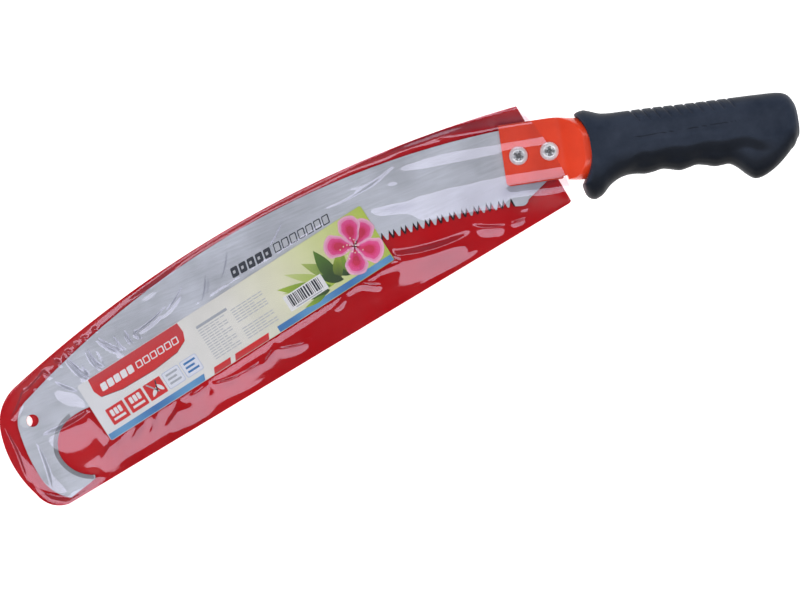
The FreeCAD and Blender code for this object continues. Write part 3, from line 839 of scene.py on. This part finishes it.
# Wrinkles of the clear film: middle x and y, direction in degrees, half length, half width, height.
WRINKLES = (
    # inside the hook and round the tip
    (-354, -127, 20, 22, 10.0, 2.0),
    (-329, -140, 62, 15, 5.0, 1.1),
    (-371, -150, 100, 20, 7.0, 1.0),
    (-389, -138, 105, 22, 4.0, 0.9),
    (-384, -108, 60, 12, 3.0, 0.7),
    (-372, -96, 40, 14, 3.0, 0.8),
    (-371, -169, -20, 12, 3.0, 0.6),
    # across the narrow strip above the blade's back
    (-364, -92, -40, 5, 1.6, 0.7),
    (-356, -85, -50, 5, 1.4, 0.7),
    (-349, -79, -40, 5, 1.3, 0.6),
    (-343, -75, -55, 4, 1.1, 0.5),
    (-337, -72, -35, 4, 1.2, 0.5),
    (-330, -67, -50, 5, 1.6, 0.5),
    (-300, -47, -50, 5, 1.6, 0.5),
    (-262, -27, 20, 12, 1.2, 0.5),
    (-180, 5, 14, 40, 1.2, 0.5),
    (-95, 21, 10, 34, 1.2, 0.45),
    # crosswise over the blade, left of the card
    (-345, -91, -52, 13, 1.7, 0.95),
    (-338, -98, -60, 12, 5.0, 1.1),
    (-333, -88, -62, 11, 1.5, 0.95),
    (-328, -90, -64, 9, 1.1, -0.5),
    (-322, -80, -35, 11, 1.4, 0.8),
    (-316, -84, -55, 10, 3.6, 0.9),
    (-316, -80, -60, 8, 1.2, 0.8),
    (-309, -77, -68, 6, 1.2, 0.8),
    (-303, -76, -60, 5, 1.0, 0.6),
    (-352, -104, -30, 12, 6.0, 1.1),
    (-293, -69, 32, 17, 2.4, 0.9),
    (-276, -58, 48, 14, 2.2, 0.8),
    (-287, -45, 30, 22, 7.0, 0.8),
    (-255, -52, 75, 10, 1.8, 0.8),
    (-240, -40, 70, 12, 3.0, 0.7),
    (-205, -26, 55, 14, 3.0, 0.6),
    # below the card's lower edge
    (-312, -136, 60, 8, 3.0, 0.9),
    (-301, -134, 72, 9, 2.0, 0.6),
    (-287, -130, 55, 10, 4.4, 1.0),
    (-269, -117, 30, 8, 3.0, 0.8),
    (-250, -113, 10, 11, 3.2, 0.9),
    (-234, -108, 24, 9, 2.6, 0.8),
    (-221, -101, 50, 9, 2.6, 0.8),
    (-206, -98, 3, 11, 3.0, 0.8),
    (-171, -75, 44, 6, 2.2, 0.6),
    (-151, -66, -14, 9, 2.6, 0.7),
    # between the card's right end and the lower seam
    (-111, -50, 6, 31, 11.0, 2.5),
    (-70, -41, -8, 12, 4.2, 1.0),
    (-51, -40, 10, 6, 2.4, 0.7),
    # along the blade towards the mouth
    (-150, -8, 22, 30, 5.0, 0.5),
)


def wrinkle_height(x, y, wrinkles):
    total = np.zeros_like(x)
    for middle_x, middle_y, direction, half_length, half_width, height in wrinkles:
        turn = math.radians(direction)
        along = (x - middle_x) * math.cos(turn) + (y - middle_y) * math.sin(turn)
        across = (y - middle_y) * math.cos(turn) - (x - middle_x) * math.sin(turn)
        off = across - 0.12 * half_length * (along / half_length) ** 2
        width = np.where(off > 0, max(0.25 * half_width, 0.9), half_width)
        total += (
            height
            * np.exp(-(off / width) ** 2)
            * np.clip(1 - (along / half_length) ** 2, 0, 1)
        )
    return total


def off_card(x, y):
    """0 where the film lies tight on the card, rising to 1 a few millimetres away from it."""
    turn = math.radians(CARD_ANGLE)
    along = (x - CARD_MIDDLE[0]) * math.cos(turn) + (y - CARD_MIDDLE[1]) * math.sin(turn)
    across = (y - CARD_MIDDLE[1]) * math.cos(turn) - (x - CARD_MIDDLE[0]) * math.sin(turn)
    away = np.maximum(np.abs(along) - CARD_LENGTH / 2, np.abs(across) - CARD_WIDTH / 2)
    return smoothstep(-0.5, 3.5, away)


def ripple(x, y, size, seed):
    """A gentle unevenness made of a few long waves in different directions."""
    draw = np.random.default_rng(seed)
    total = np.zeros_like(x)
    for _ in range(7):
        turn, phase = draw.uniform(0, 2 * math.pi, 2)
        length = size * draw.uniform(0.6, 1.6)
        total += np.sin((x * math.cos(turn) + y * math.sin(turn)) / length * 2 * math.pi + phase)
    return total / 7


def panel(
    name, field, thickness, sign, mouth_bow, mouth_inset, rows, columns, wrinkles, uneven, look
):
    """One of the sheath's two panels, from its nose to its mouth, with the hanging hole through it."""
    lower_end = MOUTH_BOTTOM - np.array([mouth_inset, 0.0])
    upper = resample(upper_seam, rows, 1.15)
    before_end = lower_seam[lower_seam[:, 0] < lower_end[0]]
    lower = resample(np.concatenate([before_end, [lower_end]]), rows, 1.15)
    across = np.linspace(0, 1, columns)
    across = 0.65 * across + 0.35 * (0.5 - 0.5 * np.cos(math.pi * across))
    down = across[None, :, None]
    plan = upper[:, None, :] * (1 - down) + lower[:, None, :] * down
    mouth_arc = arc_points(MOUTH_TOP, rise(MOUTH_TOP, lower_end, mouth_bow), lower_end, 80)
    mouth = resample(mouth_arc, columns)
    mouth = np.stack([
        np.interp(across, np.linspace(0, 1, columns), mouth[:, 0]),
        np.interp(across, np.linspace(0, 1, columns), mouth[:, 1]),
    ], 1)
    pull = smoothstep(0.86, 1.0, np.linspace(0, 1, rows))
    plan = plan + (mouth - plan[-1])[None] * pull[:, None, None]
    flat = plan.reshape(-1, 2)

    away = np.linalg.norm(flat - SHEATH_HOLE, axis=1)
    faces = grid_faces(rows, columns)
    kept = [face for face in faces if min(away[list(face)]) >= HOLE_RADIUS]
    gone = {index for face in faces if min(away[list(face)]) < HOLE_RADIUS for index in face}
    rim = np.array(sorted(gone & {index for face in kept for index in face}))
    flat[rim] = SHEATH_HOLE + (flat[rim] - SHEATH_HOLE) / away[rim, None] * HOLE_RADIUS

    x, y = flat.T
    fade = smoothstep(WELD, WELD + 4, area.sample(from_seam, x, y))
    height = area.sample(field, x, y)
    height = height + fade * off_card(x, y) * wrinkle_height(x, y, wrinkles)
    height = height + fade * uneven * ripple(x, y, 34.0, 5 + sign)
    height = np.maximum(height, area.sample(field, x, y) * 0.25)
    bead = WELD_BEAD * np.exp(-((area.sample(from_seam, x, y) - 0.6) / 0.5) ** 2)
    inner = np.stack([x, y, sign * (height + FILM_GAP)], 1)
    outer = np.stack([x, y, sign * (height + bead + FILM_GAP + thickness)], 1)
    if sign > 0:
        kept = [face[::-1] for face in kept]
    points, closed = slab(outer, inner, kept)
    return make_piece(name, points, closed, look, "sheath", sharp=55)


film_panel = panel(
    "sheath_clear_panel", front_drape, 0.35, 1, 3.8, 0.0, 520, 140,
    WRINKLES, 0.30, clear_film,
)
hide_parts("sheath_front")
red_panel = panel(
    "sheath_red_panel", back_drape, 0.45, -1, 0.3, 2.5, 300, 84,
    (), 0.06, red_pvc,
)
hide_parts("sheath_back")


# ---- Printing ------------------------------------------------------------------------------------

class Printing:
    """Thin closed patches of ink, laid on each other in the order that they are added."""

    def __init__(self, base, layer):
        self.base, self.layer, self.level = base, layer, 0
        self.points, self.faces, self.colours = [], [], []

    def add(self, outline, colours):
        """A patch with one colour, or one for each corner and a last one for its middle."""
        outline = [tuple(map(float, point)) for point in outline]
        doubled = sum(
            ax * by - bx * ay for (ax, ay), (bx, by) in zip(outline, outline[1:] + outline[:1])
        )
        several = isinstance(colours[0], (tuple, list))
        if doubled < 0:
            outline = outline[::-1]
            if several:
                colours = list(colours[:-1])[::-1] + [colours[-1]]
        count = len(outline)
        shades = list(colours) if several else [colours] * (count + 1)
        middle = np.mean(outline, axis=0)
        top = self.base + self.layer * (self.level + 1)
        start = len(self.points)
        for z in (self.base - self.layer, top):
            self.points += [(x, y, z) for x, y in outline] + [(middle[0], middle[1], z)]
            self.colours += shades
        centre = count
        above = start + count + 1
        for index in range(count):
            after = (index + 1) % count
            self.faces.append((above + index, above + after, above + centre))
            self.faces.append((start + after, start + index, start + centre))
            self.faces.append((start + index, start + after, above + after, above + index))

    def lift(self):
        """Later patches lie on top of the ones so far."""
        self.level += 1

    def finish(self, name, material, body, place):
        points = [(*place(x, y), z) for x, y, z in self.points]
        piece = make_piece(name, points, self.faces, material, body, sharp=30)
        layer = piece.data.color_attributes.new("ink", "FLOAT_COLOR", "POINT")
        flat = [value for colour in self.colours for value in (*colour, 1.0)]
        layer.data.foreach_set("color", flat)
        return piece


def box_outline(s0, t0, s1, t1, lean=0.0):
    """A rectangle, or a parallelogram whose top is shifted by lean."""
    return [(s0, t0), (s1, t0), (s1 + lean, t1), (s0 + lean, t1)]


def rounded(outline, radius, steps=4):
    """The outline with each corner rounded."""
    result = []
    count = len(outline)
    for index, corner in enumerate(outline):
        corner = np.array(corner, float)
        before = np.array(outline[index - 1], float) - corner
        after = np.array(outline[(index + 1) % count], float) - corner
        reach = min(radius, np.linalg.norm(before) / 2, np.linalg.norm(after) / 2)
        first = corner + before / np.linalg.norm(before) * reach
        last = corner + after / np.linalg.norm(after) * reach
        for t in np.linspace(0, 1, steps + 1):
            result.append(tuple((1 - t) ** 2 * first + 2 * t * (1 - t) * corner + t * t * last))
    return result


def card_place(s, t):
    """A point on the card, s along from its left end and t up from its lower edge, in the saw's axes."""
    turn = math.radians(CARD_ANGLE)
    u, v = s - CARD_LENGTH / 2, t - CARD_WIDTH / 2
    return (
        CARD_MIDDLE[0] + u * math.cos(turn) - v * math.sin(turn),
        CARD_MIDDLE[1] + u * math.sin(turn) + v * math.cos(turn),
    )


RED = (0.70, 0.012, 0.014)
PALE_RED = (0.62, 0.045, 0.055)
WHITE = (0.86, 0.86, 0.87)
BLUE = (0.045, 0.20, 0.50)
PALE_BLUE = (0.14, 0.38, 0.66)
GREY = (0.42, 0.45, 0.50)
DARK = (0.03, 0.035, 0.05)
LEAF = (0.10, 0.24, 0.02)
DARK_LEAF = (0.025, 0.055, 0.015)
LIME = (0.40, 0.55, 0.05)
PETAL = (0.78, 0.08, 0.30)
PETAL_EDGE = (0.86, 0.45, 0.62)
PETAL_HEART = (0.62, 0.015, 0.08)


def leaf(printing, base, tip, width, low, high):
    """A pointed leaf from base to tip, shaded from one colour to the other."""
    base, tip = np.array(base, float), np.array(tip, float)
    along = tip - base
    side = np.array([-along[1], along[0]]) / np.linalg.norm(along)
    steps = np.linspace(0, 1, 12)
    swell = width * np.sin(math.pi * steps ** 0.8)
    left = [base + along * t + side * w for t, w in zip(steps, swell)]
    right = [base + along * t - side * w * 0.8 for t, w in zip(steps, swell)][-2:0:-1]
    outline = [tuple(point) for point in left + right]
    mixes = list(steps) + list(steps[-2:0:-1]) + [0.4]
    low, high = np.array(low), np.array(high)
    printing.add(outline, [tuple(low + (high - low) * mix) for mix in mixes])


def petal(printing, heart, tip, width):
    """A broad petal, pale at its edge and deeper towards the heart, with veins from there outwards."""
    heart, tip = np.array(heart, float), np.array(tip, float)
    along = tip - heart
    side = np.array([-along[1], along[0]]) / np.linalg.norm(along)
    shades = np.array([
        PETAL_EDGE, (0.84, 0.30, 0.52), PETAL, (0.78, 0.06, 0.26), (0.74, 0.035, 0.18), PETAL_HEART
    ])
    for step, colour in enumerate(shades):
        size = 1.0 - 0.13 * step
        outline = []
        for angle in np.linspace(0, 2 * math.pi, 30, endpoint=False):
            reach = 0.5 - 0.5 * math.cos(angle) * size
            frill = 1 + 0.06 * math.sin(angle * 7 + tip[0])
            across = width * size * math.sin(angle) * (0.30 + 0.90 * reach ** 0.9) * frill
            outline.append(tuple(heart + along * reach + side * across))
        deeper = tuple(0.5 * colour + 0.5 * shades[min(step + 1, 5)])
        printing.add(outline, [tuple(colour)] * len(outline) + [deeper])
        printing.lift()
    for shift in (-0.45, -0.2, 0.05, 0.3):
        end = heart + along * 0.85 + side * width * shift
        sliver = side * 0.22
        printing.add([tuple(heart + sliver), tuple(heart - sliver), tuple(end)], PETAL_HEART)


def block_row(printing, count, across, up, lean, radius, colour):
    """Rounded blocks side by side: across is the first one's left edge, the pitch and the width."""
    first, pitch, width = across
    for index in range(count):
        left = first + index * pitch
        printing.add(rounded(box_outline(left, up[0], left + width, up[1], lean), radius), colour)


def strip_blue(s):
    """The blue of the card's bottom strips, which comes and goes along them."""
    wave = 0.5 + 0.5 * math.sin(s * 0.13)
    return tuple(np.array(BLUE) * (1 - wave) + np.array(PALE_BLUE) * wave)


CARD_FACE = 1.45          # heights above the blade's middle plane
BLADE_FACE = 0.75
INK_LAYER = 0.008


def make_card_print():
    printing = Printing(CARD_FACE, INK_LAYER)
    # bottom strips, the hanging tab and the two patches at the bottom edge
    for s0, s1 in ((0.4, 71.5), (128.5, 214.6)):
        steps = np.linspace(s0, s1, 9)
        for left, right in zip(steps[:-1], steps[1:]):
            first, second = strip_blue(left), strip_blue(right)
            lean = 1.6 if 71 < right < 80 else 0.0
            outline = [(left, 0.25), (right, 0.25), (right + lean, 4.4), (left, 4.4)]
            middle = tuple((np.array(first) + np.array(second)) / 2)
            printing.add(outline, [first, second, second, first, middle])
    for s0, s1 in ((78.5, 91.0), (94.5, 120.0)):
        printing.add(box_outline(s0, 0.2, s1, 4.2, 2.0), [PALE_RED, PALE_RED, RED, RED, RED])
    tab = [
        (8.2, 40.9), (7.4, 32.5), (9.5, 27.4), (24, 24.3), (48, 23.6),
        (66, 25.2), (74.2, 29.0), (76.2, 34.0), (75.8, 40.9),
    ]
    shades = [PALE_RED, RED, RED, RED, RED, RED, RED, PALE_RED, PALE_RED, RED]
    printing.add([(s * 0.992 + 0.3, t + (0 if t > 40 else -0.5)) for s, t in tab], (0.20, 0.03, 0.04))
    printing.lift()
    printing.add(tab, shades)
    printing.lift()
    # a row of plain blocks, solid and then outlined, in place of a name
    block_row(printing, 5, (12.4, 5.0, 4.2), (29.4, 34.4), 0.6, 0.9, WHITE)
    block_row(printing, 6, (39.0, 5.4, 4.5), (29.6, 34.2), 0.6, 0.8, WHITE)
    printing.lift()
    block_row(printing, 6, (39.75, 5.4, 3.0), (30.3, 33.5), 0.45, 0.5, RED)
    # three red squares and two pale ones with generic marks
    block_row(printing, 3, (7.0, 14.2, 12.6), (7.3, 18.7), 0.0, 0.6, RED)
    block_row(printing, 2, (49.4, 13.5, 12.3), (7.3, 18.7), 0.0, 1.4, (0.45, 0.52, 0.72))
    printing.lift()
    block_row(printing, 2, (49.75, 13.5, 11.6), (7.65, 18.35), 0.0, 1.2, (0.80, 0.83, 0.90))
    for s0, top in ((9.0, 16.9), (23.4, 17.2)):
        block_row(printing, 3, (s0, 2.9, 2.3), (top - 4.4, top), 0.0, 0.6, WHITE)
        printing.add(box_outline(s0, 9.4, s0 + 8.6, 11.0), WHITE)
    leaf(printing, (38.0, 9.0), (43.6, 14.0), 1.4, WHITE, WHITE)
    leaf(printing, (46.6, 9.6), (43.2, 15.6), 1.3, WHITE, WHITE)
    printing.add([(37.2, 18.0), (38.3, 18.0), (43.6, 10.4), (42.8, 10.2)], GREY)
    printing.add([(43.9, 17.9), (44.7, 17.6), (42.2, 10.4), (41.6, 10.6)], DARK)
    printing.lift()
    for s0, colour in ((51.5, GREY), (65.0, BLUE)):
        for row in range(3):
            width = 8.4 if row != 1 else 6.6
            printing.add(box_outline(s0, 9.6 + row * 2.9, s0 + width, 11.0 + row * 2.9), colour)
    # lines of small print as plain rules
    printing.add(box_outline(84.5, 30.6, 107.5, 32.4), GREY)
    for row in range(13):
        t = 28.8 - row * 1.75
        for s0, s1 in ((84.5, 104.0 - 5 * (row % 3 == 1)), (109.0, 132.0 - 7 * (row % 4 == 2))):
            if s0 > 100 and row in (6, 7):
                continue
            for left in np.arange(s0, s1 - 1, 4.1):
                printing.add(box_outline(left, t, min(left + 3.5, s1), t + 0.62), (0.52, 0.54, 0.58))
    # leaves behind the flower
    for base, tip, width, low, high in (
        ((176, 8), (143, 20), 4.0, LIME, (0.60, 0.68, 0.28)),
        ((180, 10), (163, 30), 4.4, LEAF, (0.45, 0.55, 0.14)),
        ((183, 8), (190, 30), 3.4, LEAF, LIME),
        ((186, 7), (172, 26), 3.0, DARK_LEAF, LEAF),
        ((172, 8), (141, 24), 4.6, LEAF, LIME),
        ((174, 10), (150, 30), 3.2, LIME, (0.62, 0.70, 0.30)),
        ((177, 9), (174, 33), 5.0, DARK_LEAF, LEAF),
        ((178, 8), (187, 24), 3.6, DARK_LEAF, LIME),
        ((170, 6), (150, 12), 3.4, DARK_LEAF, LEAF),
        ((181, 7), (167, 18), 3.2, DARK_LEAF, (0.05, 0.12, 0.02)),
        ((166, 5), (150, 4.8), 1.8, LEAF, LIME),
        ((196, 24), (206, 40), 4.0, LIME, LIME),
    ):
        leaf(printing, base, tip, width, low, high)
        printing.lift()
    # white box with plain stripes
    printing.add(box_outline(141.5, 7.4, 170.0, 18.2), WHITE)
    printing.lift()
    draw = np.random.default_rng(11)
    s = 144.0
    while s < 167.6:
        width = float(draw.choice([0.45, 0.45, 0.8, 1.2]))
        printing.add(box_outline(s, 9.6, s + width, 17.4), DARK)
        s += width + float(draw.choice([0.45, 0.8]))
    printing.add(box_outline(146.0, 8.1, 165.5, 8.8), GREY)
    # flower
    heart = (198.0, 21.0)
    petals = (
        ((214.0, 31.0), 8.4),
        ((203.5, 40.4), 8.2),
        ((181.0, 31.5), 8.6),
        ((190.0, 4.4), 8.4),
        ((212.0, 8.0), 9.4),
    )
    for tip, width in petals:
        petal(printing, heart, tip, width)
    for angle in range(0, 360, 20):
        turn = math.radians(angle + 12)
        reach = 2.8 + 1.7 * ((angle // 20) % 4)
        s = heart[0] - 2 + reach * math.cos(turn)
        t = heart[1] + reach * 0.8 * math.sin(turn)
        printing.add(box_outline(s - 0.35, t - 0.35, s + 0.35, t + 0.35), (0.85, 0.80, 0.62))
    printing.finish("card_print", card_ink, "sheath", card_place)


make_card_print()


def blade_place(s, t):
    """A point on the blade's mark, s along it and t up."""
    turn = math.radians(21.0)
    x0, y0 = -237.0, -49.0
    return (
        x0 + s * math.cos(turn) - t * math.sin(turn),
        y0 + s * math.sin(turn) + t * math.cos(turn),
    )


def make_blade_mark():
    """A plain row of solid and outlined blocks printed on the blade where a name would be."""
    printing = Printing(BLADE_FACE, INK_LAYER)
    steel_tone = (0.52, 0.54, 0.58)
    block_row(printing, 5, (0.0, 6.0, 5.0), (0.0, 6.4), 1.2, 1.0, DARK)
    block_row(printing, 7, (31.5, 5.9, 4.9), (0.6, 6.6), 1.2, 0.8, DARK)
    printing.lift()
    block_row(printing, 5, (1.7, 6.0, 1.7), (2.3, 4.2), 0.4, 0.3, steel_tone)
    block_row(printing, 7, (32.25, 5.9, 3.45), (1.3, 5.9), 1.0, 0.5, steel_tone)
    printing.finish("blade_print", blade_ink, "saw", blade_place)


make_blade_mark()


# ---- Floor, light and camera ---------------------------------------------------------------------

VIEW_POINT = Vector((-133.4, -78.4, 0)) * MM + origin
VIEW_TURN = math.radians(-8.5)
LENS = 120.0
SENSOR = 36.0
FRAME_WIDTH = 0.512


def make_floor():
    surface = Surface("pale_floor", Roughness=0.9, Specular_IOR_Level=0.0, Emission_Strength=0.9)
    surface.shader.inputs["Emission Color"].default_value = (1, 1, 1, 1)
    surface.set("Base Color", surface.grey(surface.noise(3.0, 2.0), (0.3, 0.90), (0.7, 0.92)))
    mesh = bpy.data.meshes.new("floor")
    reach = 4.0
    corners = [(x * reach, y * reach, 0) for x, y in ((-1, -1), (1, -1), (1, 1), (-1, 1))]
    mesh.from_pydata(corners, [], [(0, 1, 2, 3)])
    mesh.materials.append(surface.material)
    floor = bpy.data.objects.new("floor", mesh)
    floor.location.z = cad_bounds[0].z - 0.0002
    bpy.context.scene.collection.objects.link(floor)


LIGHT_HEIGHT = 1.5


def softbox(name, across, up, width, depth, radiance, mirrored=True):
    """A level panel light over the table, placed in the picture's own directions; one that isn't
    mirrored lights the object without showing in its reflections."""
    light = bpy.data.lights.new(name, "AREA")
    light.shape = "RECTANGLE"
    light.size, light.size_y = width, depth
    light.energy = radiance * math.pi * width * depth
    lamp = bpy.data.objects.new(name, light)
    lamp.rotation_euler = (0, 0, VIEW_TURN)
    offset = Matrix.Rotation(VIEW_TURN, 3, "Z") @ Vector((across, up, LIGHT_HEIGHT))
    lamp.location = VIEW_POINT + offset
    lamp.visible_camera = False
    lamp.visible_glossy = mirrored
    bpy.context.scene.collection.objects.link(lamp)


def make_world():
    world = bpy.data.worlds.new("studio")
    world.use_nodes = True
    tree = world.node_tree
    background = tree.nodes["Background"]
    coordinates = tree.nodes.new("ShaderNodeTexCoord")
    split = tree.nodes.new("ShaderNodeSeparateXYZ")
    ramp = tree.nodes.new("ShaderNodeValToRGB")
    ramp.color_ramp.elements[0].position = 0.0
    ramp.color_ramp.elements[0].color = (0.60, 0.61, 0.64, 1)
    ramp.color_ramp.elements[1].position = 0.9
    ramp.color_ramp.elements[1].color = (0.05, 0.05, 0.06, 1)
    tree.links.new(coordinates.outputs["Generated"], split.inputs[0])
    tree.links.new(split.outputs["Z"], ramp.inputs["Fac"])
    tree.links.new(ramp.outputs["Color"], background.inputs["Color"])
    background.inputs["Strength"].default_value = 0.7
    bpy.context.scene.world = world


def make_camera():
    data = bpy.data.cameras.new("camera")
    data.lens = LENS
    data.sensor_width = SENSOR
    data.clip_end = 20
    camera = bpy.data.objects.new("camera", data)
    camera.location = VIEW_POINT + Vector((0, 0, FRAME_WIDTH * LENS / SENSOR))
    camera.rotation_euler = (0, 0, VIEW_TURN)
    bpy.context.scene.collection.objects.link(camera)
    bpy.context.scene.camera = camera


make_floor()
make_world()
softbox("softbox_top", 0.0, 0.66, 2.6, 0.46, 2.1)
softbox("softbox_bottom", 0.0, -0.75, 2.6, 0.90, 2.1)
softbox("soft_fill", 0.0, 0.0, 3.0, 3.0, 0.60, mirrored=False)
softbox("softbox_left", -0.90, 0.0, 1.1, 0.7, 1.9)
softbox("softbox_right", 1.05, 0.0, 0.8, 0.7, 1.9)
make_camera()
bpy.context.scene.view_settings.view_transform = "Standard"
